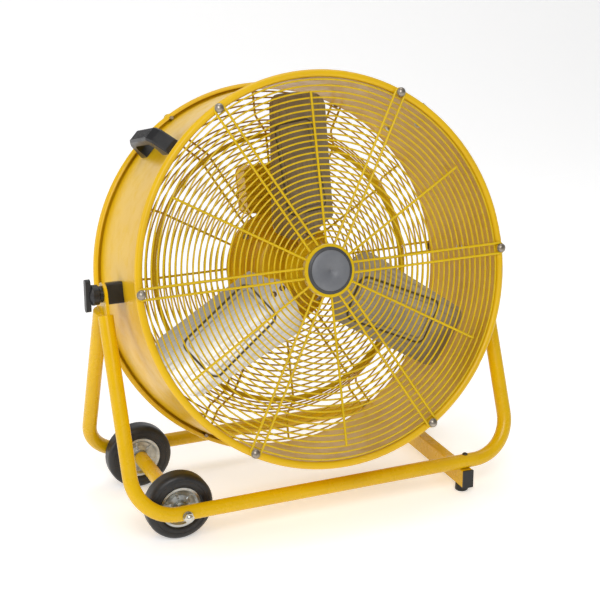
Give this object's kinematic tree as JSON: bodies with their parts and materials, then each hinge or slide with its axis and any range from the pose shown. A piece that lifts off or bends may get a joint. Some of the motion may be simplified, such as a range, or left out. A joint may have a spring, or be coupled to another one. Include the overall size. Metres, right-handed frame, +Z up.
{
  "type": "axial drum fan",
  "caption": "Portable axial air mover: a round yellow drum fan with wire guards, tilting between two bent tube loops that stand on wheels and rubber feet.",
  "frame": {"origin": "on the floor, midway between the two tilt pivots and straight below them", "axes": "+X along the tilt axis towards the footed end, -Y out of the front of the drum, +Z up"},
  "size_m": [0.748, 0.4139, 0.746],
  "materials": {
    "stand_paint": "gloss",
    "drum_paint": "gloss",
    "guard_paint": "gloss",
    "motor_paint": "gloss",
    "hub_paint": "gloss",
    "blade_aluminium": "brushed, lightly streaked",
    "badge_grey": "satin",
    "zinc_fastener": "zinc plated",
    "bright_steel": "ground",
    "rivet_metal": "satin",
    "zinc_rim": "zinc plated",
    "tyre_rubber": "matte",
    "foot_rubber": "matte",
    "black_plastic": "satin",
    "bush_plastic": "satin",
    "dark_fitting": "satin",
    "capacitor_case": "satin",
    "core_steel": "laminated",
    "winding_copper": "lacquered copper"
  },
  "bodies": {
    "stand": {"stand_front_loop": "stand_paint", "stand_rear_loop": "stand_paint", "pivot_plate_left": "stand_paint", "pivot_plate_right": "stand_paint", "axle_tube": "stand_paint", "axle_rod": "bright_steel", "axle_nuts": "zinc_fastener", "cross_member": "stand_paint", "rubber_feet": "foot_rubber", "member_plugs": "black_plastic", "foot_bolts": "zinc_fastener"},
    "drum": {"drum_shell": "drum_paint", "front_guard_rings": "guard_paint", "front_guard_spokes": "guard_paint", "front_guard_hub": "guard_paint", "badge": "badge_grey", "front_guard_screws": "zinc_fastener", "rear_guard_rings": "guard_paint", "rear_guard_spokes": "guard_paint", "rear_guard_screws": "zinc_fastener", "motor_plate": "motor_paint", "motor_housing": "motor_paint", "motor_front_bell": "motor_paint", "motor_rear_bell": "motor_paint", "stator_core": "core_steel", "stator_windings": "winding_copper", "motor_bearings": "bright_steel", "motor_bolts": "zinc_fastener", "control_bracket": "motor_paint", "control_box": "motor_paint", "control_lid": "motor_paint", "lid_screws": "zinc_fastener", "run_capacitor": "capacitor_case", "rotary_switch": "dark_fitting", "cable_gland": "dark_fitting", "motor_lead": "dark_fitting", "carry_handle_left": "black_plastic", "carry_handle_right": "black_plastic", "pivot_block_left": "black_plastic", "pivot_block_right": "black_plastic", "wall_screws": "zinc_fastener"},
    "fan": {"rotor_core": "core_steel", "motor_shaft": "bright_steel", "fan_blade_1": "blade_aluminium", "fan_blade_2": "blade_aluminium", "fan_blade_3": "blade_aluminium", "fan_hub": "hub_paint", "blade_rivets": "rivet_metal", "hub_set_screw": "zinc_fastener"},
    "tilt_knob_left": {"tilt_knob_left": "black_plastic", "tilt_stud_left": "zinc_fastener"},
    "tilt_knob_right": {"tilt_knob_right": "black_plastic", "tilt_stud_right": "zinc_fastener"},
    "speed_knob": {"speed_knob": "black_plastic"},
    "wheel_front": {"tyre_front": "tyre_rubber", "rim_front": "zinc_rim", "bush_front": "bush_plastic"},
    "wheel_rear": {"tyre_rear": "tyre_rubber", "rim_rear": "zinc_rim", "bush_rear": "bush_plastic"}
  },
  "joints": [
    {"name": "drum_tilt", "type": "hinge", "parent": "stand", "child": "drum", "pos_m": [0, 0, 0.4], "axis": [1, 0, 0], "range_deg": [-75, 105]},
    {"name": "fan_spin", "type": "hinge", "parent": "drum", "child": "fan", "pos_m": [0, 0, 0.4], "axis": [0, 0.9659, -0.2588], "continuous": true},
    {"name": "tilt_knob_left_turn", "type": "hinge", "parent": "drum", "child": "tilt_knob_left", "pos_m": [-0.36, 0, 0.4], "axis": [-1, 0, 0], "range_deg": [0, 360]},
    {"name": "tilt_knob_right_turn", "type": "hinge", "parent": "drum", "child": "tilt_knob_right", "pos_m": [0.36, 0, 0.4], "axis": [1, 0, 0], "range_deg": [0, 360]},
    {"name": "speed_knob_turn", "type": "hinge", "parent": "drum", "child": "speed_knob", "pos_m": [0, 0.17323, 0.51716], "axis": [0, 0.9659, -0.2588], "range_deg": [0, 120]},
    {"name": "wheel_front_spin", "type": "hinge", "parent": "stand", "child": "wheel_front", "pos_m": [-0.262, -0.1075, 0.0575], "axis": [0, 1, 0], "continuous": true},
    {"name": "wheel_rear_spin", "type": "hinge", "parent": "stand", "child": "wheel_rear", "pos_m": [-0.262, 0.1075, 0.0575], "axis": [0, 1, 0], "continuous": true}
  ]
}
